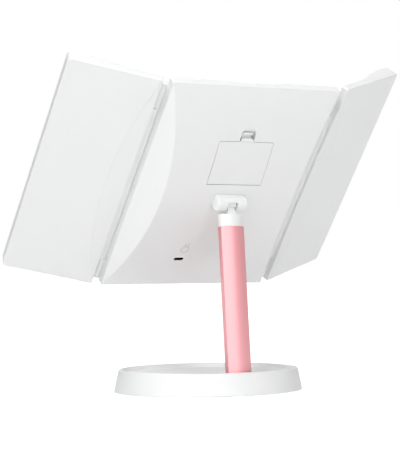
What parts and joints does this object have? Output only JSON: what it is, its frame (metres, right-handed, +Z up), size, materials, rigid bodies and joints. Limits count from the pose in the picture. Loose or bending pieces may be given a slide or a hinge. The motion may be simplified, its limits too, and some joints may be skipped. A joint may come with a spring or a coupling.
{
  "type": "trifold vanity mirror",
  "caption": "Table vanity mirror with a tilting centre panel, fold-in side mirrors on hinges, a battery bay behind a latched door, a leaning post and an oval tray base.",
  "frame": {"origin": "centre of the oval base's underside, on the table", "axes": "+Z up; the user looks at the mirrors from -Y, so +Y is the back; +X is the user's right"},
  "size_m": [0.3697, 0.1838, 0.3212],
  "materials": {
    "white_gloss": "moulded ABS, polished tool, bright white",
    "white_matte": "moulded ABS, plain white, unpolished",
    "pink_metal": "extruded tube, pearl rose-pink coat, glossy",
    "core_plastic": "moulded core, unpainted",
    "mirror_glass": "back-silvered float glass",
    "diffuser": "frosted milky light strip",
    "steel": "zinc-plated steel",
    "contact_plate": "nickel-plated spring steel",
    "rubber_grey": "soft rubber",
    "black_plastic": "black glass-filled nylon, moulded",
    "circuit_board": "white-lacquered fibre board",
    "led": "cast LED body",
    "cell_wrap": "plain printed-free cell sleeve",
    "mark_grey": "raised line in the shell's white",
    "foam": "closed-cell backing pad"
  },
  "bodies": {
    "base": {"base_tray": "white_gloss", "base_bottom_plate": "white_matte", "base_weight": "steel", "base_feet": "rubber_grey", "plate_screws": "steel", "post_screws": "steel", "post_tube": "pink_metal", "post_core": "core_plastic", "post_collar": "white_gloss", "tilt_neck": "white_gloss", "neck_screws": "steel"},
    "head": {"centre_back_shell": "white_gloss", "centre_front_frame": "white_gloss", "mirror_carrier": "white_matte", "centre_mirror_glass": "mirror_glass", "control_board": "circuit_board", "board_screws": "steel", "usb_socket": "black_plastic", "touch_pad": "rubber_grey", "carrier_screws": "steel", "plug_mark": "mark_grey", "battery_tray": "white_matte", "battery_cells": "cell_wrap", "battery_contacts": "contact_plate", "battery_springs": "steel", "tilt_housing": "white_gloss", "housing_screws": "steel", "tilt_pin": "steel", "tilt_nut": "steel", "friction_washers": "black_plastic", "hinge_rod_right": "steel", "hinge_rod_left": "steel", "light_diffuser_right": "diffuser", "light_diffuser_left": "diffuser", "led_board_right": "circuit_board", "led_board_left": "circuit_board", "led_chips_right": "led", "led_chips_left": "led"},
    "battery_door": {"battery_door": "white_gloss"},
    "wing_right": {"wing_back_shell_right": "white_gloss", "wing_front_frame_right": "white_gloss", "wing_mirror_pad_right": "foam", "wing_mirror_glass_right": "mirror_glass"},
    "wing_left": {"wing_back_shell_left": "white_gloss", "wing_front_frame_left": "white_gloss", "wing_mirror_pad_left": "foam", "wing_mirror_glass_left": "mirror_glass"}
  },
  "joints": [
    {"name": "head_tilt", "type": "hinge", "parent": "base", "child": "head", "pos_m": [0, 0.0375, 0.183], "axis": [-1, 0, 0], "range_deg": [-37.6, 52.4]},
    {"name": "wing_right_hinge", "type": "hinge", "parent": "head", "child": "wing_right", "pos_m": [0.0942, 0.01064, 0.20368], "axis": [0, -0.6101, -0.7923], "range_deg": [-19.7, 159.5]},
    {"name": "wing_left_hinge", "type": "hinge", "parent": "head", "child": "wing_left", "pos_m": [-0.0942, 0.01064, 0.20368], "axis": [0, 0.6101, 0.7923], "range_deg": [-24, 155.2]},
    {"name": "battery_door_hinge", "type": "hinge", "parent": "head", "child": "battery_door", "pos_m": [0, 0.04494, 0.2015], "axis": [-1, 0, 0], "range_deg": [0, 70]}
  ]
}
